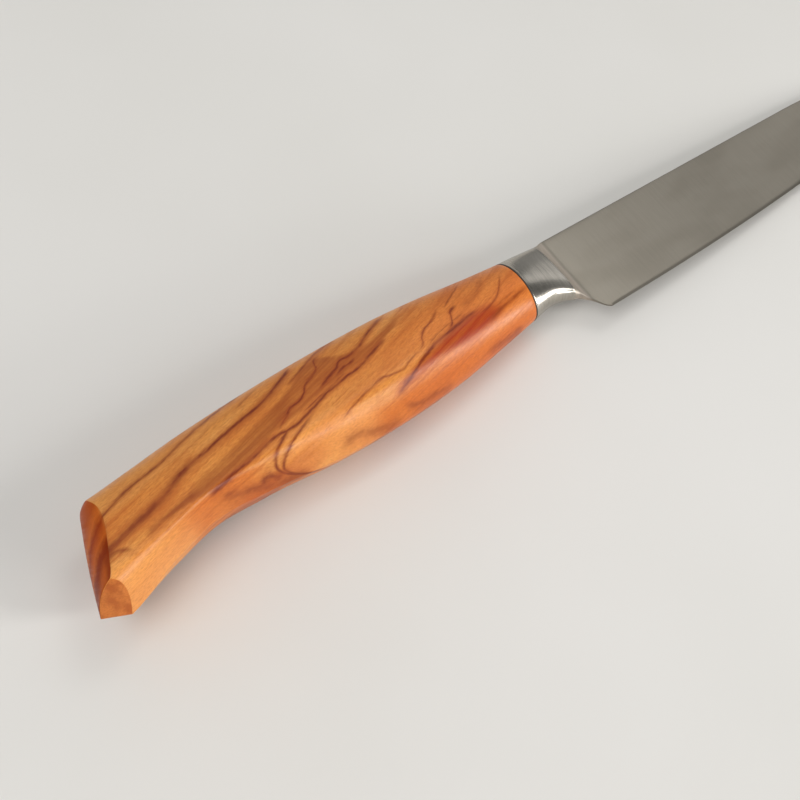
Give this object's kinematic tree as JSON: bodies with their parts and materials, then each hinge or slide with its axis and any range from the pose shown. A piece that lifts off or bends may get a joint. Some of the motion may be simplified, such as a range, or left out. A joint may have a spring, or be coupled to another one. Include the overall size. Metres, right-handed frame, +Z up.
{
  "type": "paring knife",
  "caption": "Forged paring knife with a straight spine, a rounded bolster and a solid olive wood handle that swells for the palm and ends in a leaning, faceted butt.",
  "frame": {"origin": "on the surface the knife lies on, under the middle of its bounding box", "axes": "+X from the butt to the tip, +Y from the edge to the spine, +Z up, with the knife lying on its cheek and its tip"},
  "size_m": [0.21, 0.0242, 0.0194],
  "materials": {
    "satin_steel": "satin, ground along the blade and brushed across the bolster",
    "cured_adhesive": "matt",
    "olive_wood": "oiled, satin"
  },
  "bodies": {
    "root": {"blade": "satin_steel", "adhesive_bed": "cured_adhesive", "handle": "olive_wood"}
  },
  "joints": []
}
